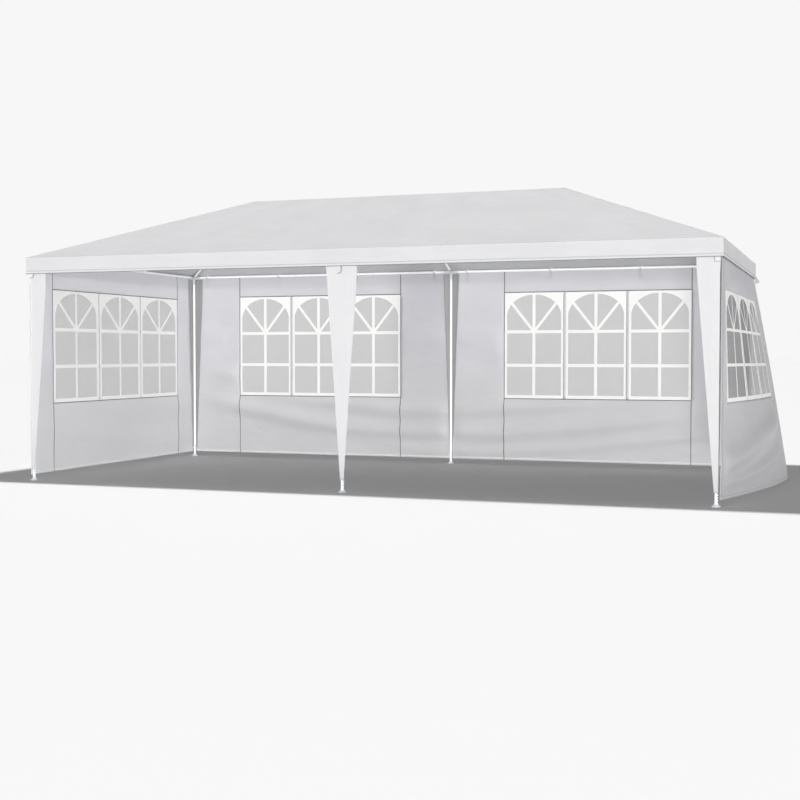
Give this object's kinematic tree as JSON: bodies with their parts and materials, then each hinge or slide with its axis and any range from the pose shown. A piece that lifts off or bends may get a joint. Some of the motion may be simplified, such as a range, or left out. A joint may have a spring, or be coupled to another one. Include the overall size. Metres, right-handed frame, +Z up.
{
  "type": "marquee tent",
  "caption": "Open-fronted party tent: hipped cloth roof with a hanging valance on tubular legs, cloth walls with arched windows, tapered leg covers.",
  "frame": {"origin": "middle of the tent's whole width and depth, on the ground; the legs' own middle is 0.174 m towards +X's opposite side, because the right wall swings out", "axes": "+Z up, X along the ridge with the swung-out wall at +X, -Y out of the open front"},
  "size_m": [6.348, 3, 2.5669],
  "materials": {
    "tube": "white powder coat, satin",
    "joint": "pale grey, satin",
    "foot": "white, satin",
    "roof": "coated white sheeting",
    "leg_cover": "coated white sheeting",
    "wall": "coated white sheeting",
    "film": "clear film"
  },
  "bodies": {
    "root": {"leg_front_left": "tube", "foot_front_left": "foot", "eave_joint_front_left": "joint", "leg_cover_front_left": "leg_cover", "leg_front_middle": "tube", "foot_front_middle": "foot", "eave_joint_front_middle": "joint", "leg_cover_front_middle": "leg_cover", "leg_front_right": "tube", "foot_front_right": "foot", "eave_joint_front_right": "joint", "leg_cover_front_right": "leg_cover", "eave_tube_front_left": "tube", "hip_rafter_front_left": "tube", "eave_tube_front_right": "tube", "hip_rafter_front_right": "tube", "middle_rafter_front": "tube", "leg_rear_left": "tube", "foot_rear_left": "foot", "eave_joint_rear_left": "joint", "leg_cover_rear_left": "leg_cover", "leg_rear_middle": "tube", "foot_rear_middle": "foot", "eave_joint_rear_middle": "joint", "leg_cover_rear_middle": "leg_cover", "leg_rear_right": "tube", "foot_rear_right": "foot", "eave_joint_rear_right": "joint", "leg_cover_rear_right": "leg_cover", "eave_tube_rear_left": "tube", "hip_rafter_rear_left": "tube", "eave_tube_rear_right": "tube", "hip_rafter_rear_right": "tube", "middle_rafter_rear": "tube", "eave_tube_left": "tube", "ridge_tube_left": "tube", "rear_wall_left": "wall", "left_wall": "wall", "rear_window_left": "film", "left_window": "film", "eave_tube_right": "tube", "ridge_tube_right": "tube", "rear_wall_right": "wall", "right_wall": "wall", "rear_window_right": "film", "right_window": "film", "ridge_joint_left": "joint", "ridge_joint_middle": "joint", "ridge_joint_right": "joint", "roof_front": "roof", "roof_rear": "roof", "roof_left": "roof", "roof_right": "roof"}
  },
  "joints": []
}
